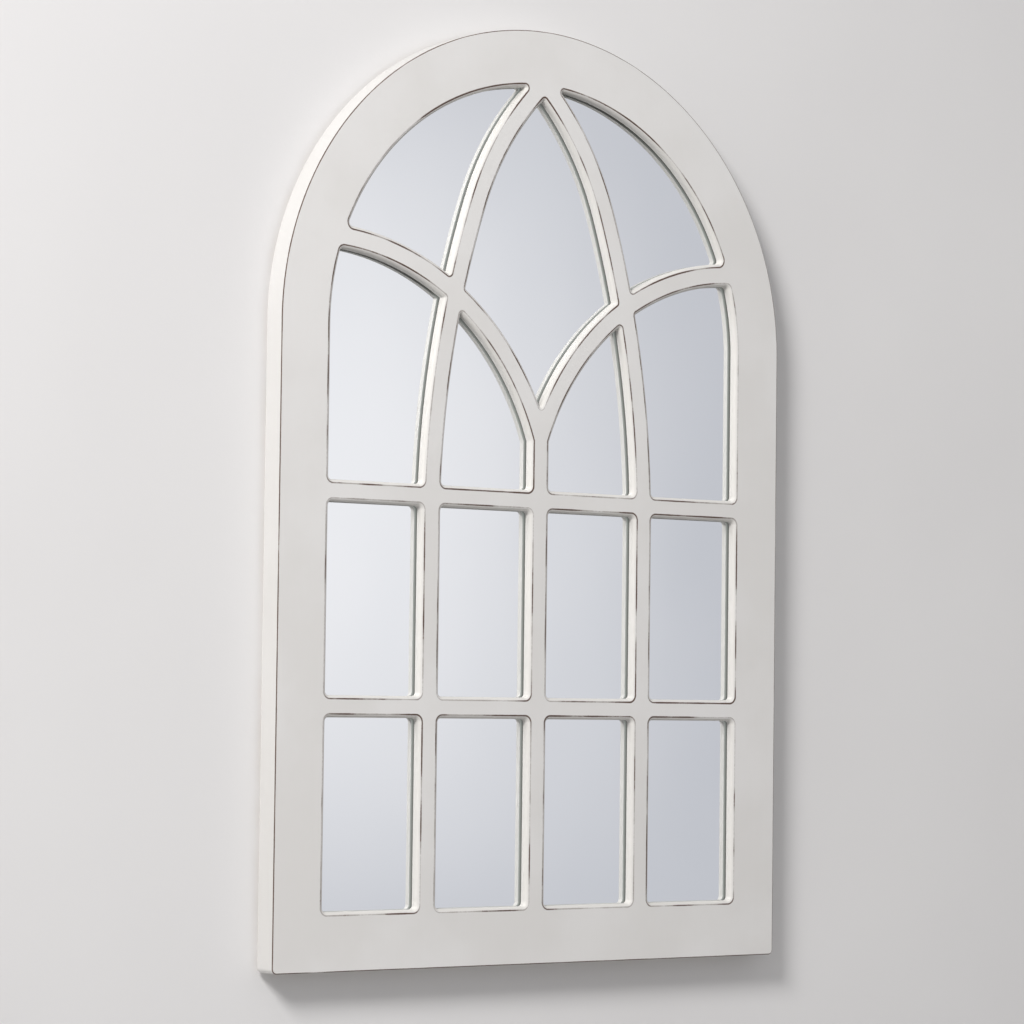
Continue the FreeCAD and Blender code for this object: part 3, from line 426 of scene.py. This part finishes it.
def normals_into_solid(loop):
    """Unit normals on the left of a loop that runs with the solid on its left."""
    before, after = np.roll(loop, 1, axis=0), np.roll(loop, -1, axis=0)
    first, second = loop - before, after - loop
    first /= np.linalg.norm(first, axis=1)[:, None]
    second /= np.linalg.norm(second, axis=1)[:, None]
    along = first + second
    along /= np.linalg.norm(along, axis=1)[:, None]
    lean = np.clip((along * first).sum(axis=1), LEAST_LEAN, 1.0)
    return np.stack([-along[:, 1], along[:, 0]], axis=1) / lean[:, None]


def signed_area(loop):
    """Area inside a loop, above zero if it runs anticlockwise as seen from the room."""
    x, z = loop[:, 0], loop[:, 1]
    return 0.5 * np.sum(x * np.roll(z, -1) - z * np.roll(x, -1))


# ---------------------------------------------------------------------------------------------
# The panel, with worn arrises
# ---------------------------------------------------------------------------------------------
OUTLINE_ARRIS, OPENING_ARRIS = 0.0008, 0.004
# The flat margin beside each arris
MARGIN = 0.0008
# How worn the outline and the openings are on average, what level runs add to that, and the
# least wear, which shows as a faint line
OUTLINE_WEAR, OPENING_WEAR, LEVEL_WEAR, FAINT_WEAR = 1.02, 0.56, 0.14, 0.43
# The noise of the wear, as (changes per metre, strength), and how far apart two loops are in it
WEAR_NOISE, LOOPS_APART = ((9.0, 0.30), (30.0, 0.52), (120.0, 0.10)), 7.31
# Steps round an arris, as (degrees from the face, share of the wear, share of the reveal)
OUTLINE_STEPS = ((0, 0.52, 0.0), (22, 0.95, 0.0), (45, 1.0, 0.0), (68, 0.95, 0.0), (90, 0.52, 0.0))
OPENING_STEPS = ((0, 0.72, 0.0), (6, 1.0, 0.0), (13, 1.0, 0.0), (20, 0.66, 0.2), (28, 0.0, 0.6),
                 (36, 0.0, 1.0), (50, 0.0, 1.0), (64, 0.0, 1.0), (77, 0.0, 1.0), (90, 0.0, 1.0))
# A painted glow, standing in for light that the glass carries behind the panel, reaches this far
# in. It fades over these rings, as shares of what there is at the edge, by a power and down to a
# least glow
GLOW_REACH, GLOW_RINGS, GLOW_FADE, LEAST_GLOW = 0.0042, (1.0, 0.6, 0.25, 0.0), 1.5, 0.25
# The painted glow is painted shade under an edge that faces away from the window side: this share
# of the most at least, and by this much with the edge's direction, averaged over this distance
SHADED_LIGHT, LIGHT_SLOPE, LIGHT_SPREAD = 0.16, 1.6, 0.009


def wear_along(loop, number, outer):
    """How far each point of an edge is rubbed, from 0 to 1: a faint line with darker dashes."""
    steps = np.roll(loop, -1, axis=0) - loop
    lengths = np.linalg.norm(steps, axis=1)
    level_share = np.abs(steps[:, 0]) / lengths
    travel = np.concatenate([[0.0], np.cumsum(lengths)[:-1]])
    total = lengths.sum()
    worn = []
    for s, share in zip(travel, level_share):
        turn = 2 * math.pi * s / total
        at = Vector((math.cos(turn), math.sin(turn), 0.0)) * (total / 2 / math.pi)
        at += Vector((0.0, 0.0, number * LOOPS_APART))
        level = OUTLINE_WEAR if outer else OPENING_WEAR + LEVEL_WEAR * share
        level += sum(strength * noise.noise(at * often) for often, strength in WEAR_NOISE)
        worn.append(min(max(level, FAINT_WEAR), 1.0))
    return np.array(worn)


def painted_edge_light(loop, normal):
    """Painted light for the glow beside each point, by the edge's direction to the window side:
    little under edges that face away from it, as painted shade.
    """
    facing = -normal / np.linalg.norm(normal, axis=1)[:, None]
    window = np.array([WINDOW_SIDE[0], WINDOW_SIDE[2]])
    lit = np.clip(facing @ window / np.linalg.norm(window), -1, 1)
    lit = SHADED_LIGHT + (1 - SHADED_LIGHT) * np.clip(lit * LIGHT_SLOPE + 0.5, 0.0, 1.0)
    length = np.linalg.norm(np.roll(loop, -1, axis=0) - loop, axis=1)
    spread = []
    for i in range(len(loop)):
        away = np.linalg.norm(loop - loop[i], axis=1)
        share = np.clip(1 - away / LIGHT_SPREAD, 0.0, 1.0) * length
        spread.append((lit * share).sum() / share.sum())
    return np.array(spread)


def arris_rings(radius, steps, reveal):
    """The rings of points from a panel's face, round an arris and down a side, to its back.

    Rows of (offset into the face, depth, share of the wear, of the reveal and of the painted
    glow).
    """
    rings = [(radius + MARGIN, 0.0, 0.0, 0.0, 0.0)]
    for degrees, wear, share in steps:
        angle = math.radians(degrees)
        offset, depth = radius * (1 - math.sin(angle)), radius * (1 - math.cos(angle))
        rings.append((offset, depth, wear, share, 0.0))
    rings.append((0.0, radius + MARGIN, 0.0, reveal, 0.0))
    for share in GLOW_RINGS:
        glow = LEAST_GLOW + (1 - LEAST_GLOW) * share**GLOW_FADE
        rings.append((GLOW_REACH * (1 - share), PANEL_BACK - FRONT, 0.0, reveal, glow))
    return rings


def worn_panel():
    """The panel with its arrises rounded in fine steps, and how worn each point is."""
    loops = outline_loops(NODES["front_panel"].data, PANEL_BACK)
    loops = [refined(loop) for loop in loops if abs(signed_area(loop)) > SMALL_LOOP]
    outer = max(range(len(loops)), key=lambda i: abs(signed_area(loops[i])))
    points, faces, worn, reveal, painted_glow, sharp = [], [], [], [], [], []
    flat_loops = []
    for number, loop in enumerate(loops):
        # the solid lies left of an anticlockwise outer loop and of a clockwise inner one
        if (signed_area(loop) > 0) != (number == outer):
            loop = loop[::-1]
        normal = normals_into_solid(loop)
        wear = wear_along(loop, number, number == outer)
        # painted light and shade for the glow, by each edge's direction to the window side
        light = painted_edge_light(loop, normal)
        if number == outer:
            # the outer sides get a share of the darker cream as painted shade
            rings = arris_rings(OUTLINE_ARRIS, OUTLINE_STEPS, OUTER_SIDE_SHADE_SHARE)
        else:
            rings = arris_rings(OPENING_ARRIS, OPENING_STEPS, 1.0)
        count = len(loop)
        starts = []
        for offset, depth, share, shown, glow in rings:
            starts.append(len(points))
            points += [(x, FRONT + depth, min(z, PANEL_TOP)) for x, z in loop + normal * offset]
            worn += list(wear * share)
            reveal += [shown] * count
            painted_glow += list(light * glow)
        for first, second in zip(starts, starts[1:]):
            for i in range(count):
                j = (i + 1) % count
                faces.append((first + i, first + j, second + j, second + i))
        for start in (starts[0], starts[-len(GLOW_RINGS)]):
            sharp += [(start + i, start + (i + 1) % count) for i in range(count)]
        flat_loops.append((starts[0], starts[-1], count))
    front = fill(points, [(start, count) for start, _, count in flat_loops])
    back = fill(points, [(start, count) for _, start, count in flat_loops])
    strips = len(faces)
    faces += front + [tuple(reversed(face)) for face in back]
    marks = {"worn": worn, "reveal": reveal, "painted_glow": painted_glow}
    return made_mesh("painted_panel", points, faces, marks, sharp, smooth_until=strips)


def fill(points, loops):
    """Triangles between an outer loop and the holes in it, all in one plane across Y."""
    order, edges = [], []
    for start, count in loops:
        base = len(order)
        order += range(start, start + count)
        edges += [(base + i, base + (i + 1) % count) for i in range(count)]
    flat = [Vector((points[i][0], points[i][2])) for i in order]
    solved, _, triangles, originals = delaunay_2d_cdt(flat, edges, [], 1, SAME_POINT)[:4]
    rings = [np.array([flat[base + i] for i in range(count)]) for base, count in loop_bases(loops)]
    outer = max(rings, key=lambda ring: abs(signed_area(ring)))
    holes = [ring for ring in rings if ring is not outer]
    kept = []
    for triangle in triangles:
        centre = sum((Vector(solved[corner]) for corner in triangle), Vector((0.0, 0.0))) / 3
        if any(inside(hole, centre) for hole in holes) or not inside(outer, centre):
            continue
        kept.append(tuple(order[originals[corner][0]] for corner in triangle))
    return kept


def loop_bases(loops):
    """Where each loop's points begin when they follow one another, and how many it has."""
    base = 0
    for _, count in loops:
        yield base, count
        base += count


def inside(ring, point):
    """Whether a point is inside a closed ring, by crossings of a ray towards +X."""
    x, z = ring[:, 0], ring[:, 1]
    next_x, next_z = np.roll(x, -1), np.roll(z, -1)
    spans = (z > point[1]) != (next_z > point[1])
    with np.errstate(divide="ignore", invalid="ignore"):
        crossing = x + (point[1] - z) * (next_x - x) / (next_z - z)
    return np.count_nonzero(spans & (crossing > point[0])) % 2 == 1


def made_mesh(name, points, faces, marks=None, sharp=(), smooth_until=0):
    """An object from points and faces. marks are values at its points that materials read."""
    mesh = bpy.data.meshes.new(name)
    mesh.from_pydata(points, [], faces)
    mesh.validate()
    for mark, values in (marks or {}).items():
        layer = mesh.attributes.new(mark, "FLOAT", "POINT")
        layer.data.foreach_set("value", np.array(values, np.float32))
    for polygon in mesh.polygons:
        polygon.use_smooth = polygon.index < smooth_until
    creases = {frozenset(pair) for pair in sharp}
    for edge in mesh.edges:
        edge.use_edge_sharp = frozenset(edge.vertices) in creases
    mesh.update()
    made = bpy.data.objects.new(name, mesh)
    bpy.context.scene.collection.objects.link(made)
    return made


def consistent(made):
    """Turn every face of a closed mesh outwards."""
    work = bmesh.new()
    work.from_mesh(made.data)
    bmesh.ops.recalc_face_normals(work, faces=work.faces)
    work.to_mesh(made.data)
    work.free()


# ---------------------------------------------------------------------------------------------
# The mirror sheet
# ---------------------------------------------------------------------------------------------
# How far behind the panel a 4 mm sheet of silvered glass seems to reflect
SILVER_DEPTH = 0.0025
# Flat pieces in the sheet's arch
ARCH_STEPS = 96


def mirror_sheet():
    """The reflecting sheet, from its apparent depth behind the panel to the back of the glass."""
    low, high = GLASS
    half, spring = high.x, high.z - high.x
    outline = [(-half, low.z), (half, low.z)]
    for k in range(ARCH_STEPS + 1):
        turn = math.pi * k / ARCH_STEPS
        outline.append((half * math.cos(turn), spring + half * math.sin(turn)))
    count = len(outline)
    points = [(x, PANEL_BACK + SILVER_DEPTH, z) for x, z in outline]
    points += [(x, high.y, z) for x, z in outline]
    faces = [tuple(range(count)), tuple(reversed(range(count, 2 * count)))]
    faces += [(i, i + count, (i + 1) % count + count, (i + 1) % count) for i in range(count)]
    return made_mesh("silvered_sheet", points, faces)


# ---------------------------------------------------------------------------------------------
# Pieces and their finishes
# ---------------------------------------------------------------------------------------------
def finish_with(made, finish):
    """Make a material the only one of an object."""
    made.data.materials.clear()
    made.data.materials.append(finish)


def dress():
    """Replace the panel and the glass, and give every other piece its material."""
    panel = worn_panel()
    consistent(panel)
    finish_with(panel, panel_paint())
    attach(panel, "frame")
    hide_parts("front_panel")

    sheet = mirror_sheet()
    consistent(sheet)
    finish_with(sheet, silver())
    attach(sheet, "frame")
    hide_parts("mirror_glass")

    rear = frame_paint()
    plate = zinc("zinc_sheet", rgb(0.66, 0.65, 0.62), (900.0, 900.0, 60.0))
    wire = zinc("zinc_wire", rgb(0.70, 0.69, 0.66), (500.0, 500.0, 500.0))
    screws = zinc("zinc_screws", rgb(0.68, 0.66, 0.58), (1200.0, 300.0, 1200.0))
    finishes = {
        rear: ["rear_bottom_strip", "rear_side_strip_left", "rear_side_strip_right",
               "rear_arch_left", "rear_arch_crown", "rear_arch_right"],
        felt(): ["cushion_sheet"],
        hardboard(): ["backing_board"],
        rubber("block_rubber", rgb(0.03, 0.03, 0.03), rgb(0.07, 0.07, 0.068)):
            ["setting_blocks", "edge_spacers"],
        rubber("pad_rubber", rgb(0.035, 0.034, 0.033), rgb(0.085, 0.083, 0.08)): ["wall_bumpers"],
        plate: ["backing_clips", "hanger_strap_left", "hanger_strap_right"],
        wire: ["hang_ring_left", "hang_ring_right"],
        screws: ["frame_screws", "clip_screws", "hanger_screws"],
    }
    for finish, names in finishes.items():
        for name in names:
            finish_with(NODES[name], finish)


# ---------------------------------------------------------------------------------------------
# Studio: wall, floor, lamps, world and camera
# ---------------------------------------------------------------------------------------------
FLOOR_HEIGHT, WALL_TOP, STAGE_REACH = -1.45, 4.0, 6.0
# The backdrop in the mirror, by the slope of the view: where its bright part ends on the right,
# the height at which it is brightest, and how fast it darkens above and below that
BRIGHT_END, BRIGHT_HEIGHT, DARKENING = (0.67, 0.86), 0.075, 37.0
# Its folds: how far they shift that end, and their scale
FOLD_SHIFT, FOLD_SCALE = 0.05, (26.0, 26.0, 9.0)
# The flattest view that still has a slope
LEAST_AHEAD = 0.05
BACKDROP_DIM, BACKDROP_BRIGHT = rgb(0.60, 0.61, 0.66), rgb(0.96, 0.955, 0.985)
DAYLIGHT_DIM, DAYLIGHT_BRIGHT = rgb(0.088, 0.084, 0.083), rgb(0.785, 0.775, 0.77)
# The camera's lens and sensor in millimetres, its place, and its axes to the right, ahead and up
LENS, SENSOR = 129.98, 36.0
CAMERA_PLACE = Vector((-2.18973, -2.91178, -0.32168))
CAMERA_AXES = (
    (0.800235, -0.599565, 0.012069),
    (0.598309, 0.799599, 0.051654),
    (-0.040621, -0.034114, 0.998592),
)


def wall_material():
    """Pale plaster, seen only from the front, that lets the lamps behind it light the back."""
    made, nodes, at = material("pale_wall")
    grain = nodes.noise(at, 260.0, 5.0, 0.6)
    patches = nodes.noise(at, 1.7, 3.0)
    patches = nodes.span(patches, 0.3, 0.7)
    colour = nodes.mix(patches, rgb(0.713, 0.711, 0.718), rgb(0.742, 0.741, 0.747))
    normal = nodes.bump(grain, 0.12, 0.0006)
    inputs = {"Color": colour, "Roughness": 0.6, "Normal": normal}
    plaster = nodes.add("ShaderNodeBsdfDiffuse", inputs).outputs[0]
    clear = nodes.add("ShaderNodeBsdfTransparent").outputs[0]
    behind = nodes.add("ShaderNodeNewGeometry").outputs["Backfacing"]
    shadow = nodes.add("ShaderNodeLightPath").outputs["Is Shadow Ray"]
    factor = nodes.math("MAXIMUM", behind, shadow)
    mixed = nodes.add("ShaderNodeMixShader", {0: factor, 1: plaster, 2: clear})
    nodes.add("ShaderNodeOutputMaterial", {"Surface": mixed.outputs[0]})
    return made


def floor_material():
    """Grey floor, out of the picture, which sends a little light up to the lower edges."""
    made, nodes, at = material("pale_floor")
    patches = nodes.noise(at, 2.0, 4.0)
    colour = nodes.mix(patches, rgb(0.34, 0.332, 0.326), rgb(0.40, 0.392, 0.385))
    normal = nodes.bump(nodes.noise(at, 180.0, 4.0), 0.1, 0.0006)
    roughness = nodes.span(patches, 0.3, 0.7, 0.6, 0.75)
    surface(nodes, base_color=colour, roughness=roughness, normal=normal)
    return made


def stage_plane(name, corners, finish):
    """One flat face of the stage."""
    made = made_mesh(name, corners, [tuple(range(len(corners)))])
    finish_with(made, finish)


def studio():
    """The wall that the mirror hangs on, the floor, and a lamp on each side of the wall."""
    sides = (-STAGE_REACH, STAGE_REACH)
    wall = [(x, 0.0, FLOOR_HEIGHT) for x in sides] + [(x, 0.0, WALL_TOP) for x in sides[::-1]]
    floor = [(x, -STAGE_REACH, FLOOR_HEIGHT) for x in sides]
    floor += [(x, STAGE_REACH, FLOOR_HEIGHT) for x in sides[::-1]]
    stage_plane("wall", wall, wall_material())
    stage_plane("floor", floor, floor_material())
    lamp("key", place=(-2.45, -1.67, 1.45), target=(0.0, 0.0, -0.1),
         width=0.95, power=85.0, colour=(1.0, 0.980, 0.962))
    lamp("back_light", place=(0.0, 2.2, -0.2), target=(0.0, 0.0, -0.15),
         width=0.55, power=20.0, colour=(1.0, 1.0, 1.0))


def lamp(name, place, target, width, power, colour):
    """A round lamp, width in metres and power in watts, that shines at a target."""
    light = bpy.data.lights.new(name, "AREA")
    light.shape = "DISK"
    light.size = width
    light.energy = power
    light.color = colour
    made = bpy.data.objects.new(name, light)
    made.location = place
    direction = Vector(target) - Vector(place)
    made.rotation_euler = direction.to_track_quat("-Z", "Y").to_euler()
    bpy.context.scene.collection.objects.link(made)


def world():
    """Soft daylight from one side, and the pale backdrop that the mirror shows."""
    made = bpy.data.worlds.new("studio")
    bpy.context.scene.world = made
    made.use_nodes = True
    nodes = Nodes(made.node_tree)
    direction = nodes.add("ShaderNodeTexCoord").outputs["Generated"]
    parts = nodes.add("ShaderNodeSeparateXYZ", {0: direction})
    ahead = nodes.math("MAXIMUM", nodes.math("MULTIPLY", parts.outputs["Y"], -1.0), LEAST_AHEAD)
    across = nodes.math("DIVIDE", parts.outputs["X"], ahead)
    folds = nodes.noise(nodes.stretched(direction, FOLD_SCALE), 1.0, 2.0)
    shift = nodes.math("MULTIPLY", nodes.math("SUBTRACT", folds, 0.5), FOLD_SHIFT)
    lit = nodes.span(nodes.math("ADD", across, shift), *BRIGHT_END, 1.0, 0.0)
    height = nodes.math("DIVIDE", parts.outputs["Z"], ahead)
    height = nodes.math("SUBTRACT", height, BRIGHT_HEIGHT)
    darker = nodes.math("MULTIPLY", nodes.math("MULTIPLY", height, height), DARKENING)
    lit = nodes.math("MULTIPLY", lit, nodes.math("SUBTRACT", 1.0, darker, clamp=True))
    backdrop = nodes.mix(lit, BACKDROP_DIM, BACKDROP_BRIGHT)
    path = nodes.add("ShaderNodeLightPath")
    seen = nodes.math("MAXIMUM", path.outputs["Is Camera Ray"], path.outputs["Is Glossy Ray"])
    seen = nodes.math("MAXIMUM", seen, path.outputs["Is Transmission Ray"])
    pair = {0: direction, 1: WINDOW_SIDE}
    towards = nodes.add("ShaderNodeVectorMath", pair, operation="DOT_PRODUCT").outputs["Value"]
    towards = nodes.span(towards, -1.0, 1.0, smooth=False)
    daylight = nodes.mix(towards, DAYLIGHT_DIM, DAYLIGHT_BRIGHT)
    colour = nodes.mix(seen, daylight, backdrop)
    shade = nodes.add("ShaderNodeBackground", {"Color": colour, "Strength": 1.0})
    nodes.add("ShaderNodeOutputWorld", {"Surface": shade.outputs[0]})


def camera():
    """The photograph's viewpoint: left of the mirror, level with its lower panes."""
    data = bpy.data.cameras.new("camera")
    data.lens, data.sensor_width = LENS, SENSOR
    data.clip_start, data.clip_end = 0.1, 50.0
    made = bpy.data.objects.new("camera", data)
    right, ahead, up = (Vector(row) for row in CAMERA_AXES)
    turn = Matrix((right, up, -ahead)).transposed()
    made.matrix_world = Matrix.Translation(CAMERA_PLACE) @ turn.to_4x4()
    bpy.context.scene.collection.objects.link(made)
    bpy.context.scene.camera = made


dress()
studio()
world()
camera()
bpy.context.scene.view_settings.view_transform = "Standard"


bpy.context.view_layer.update()
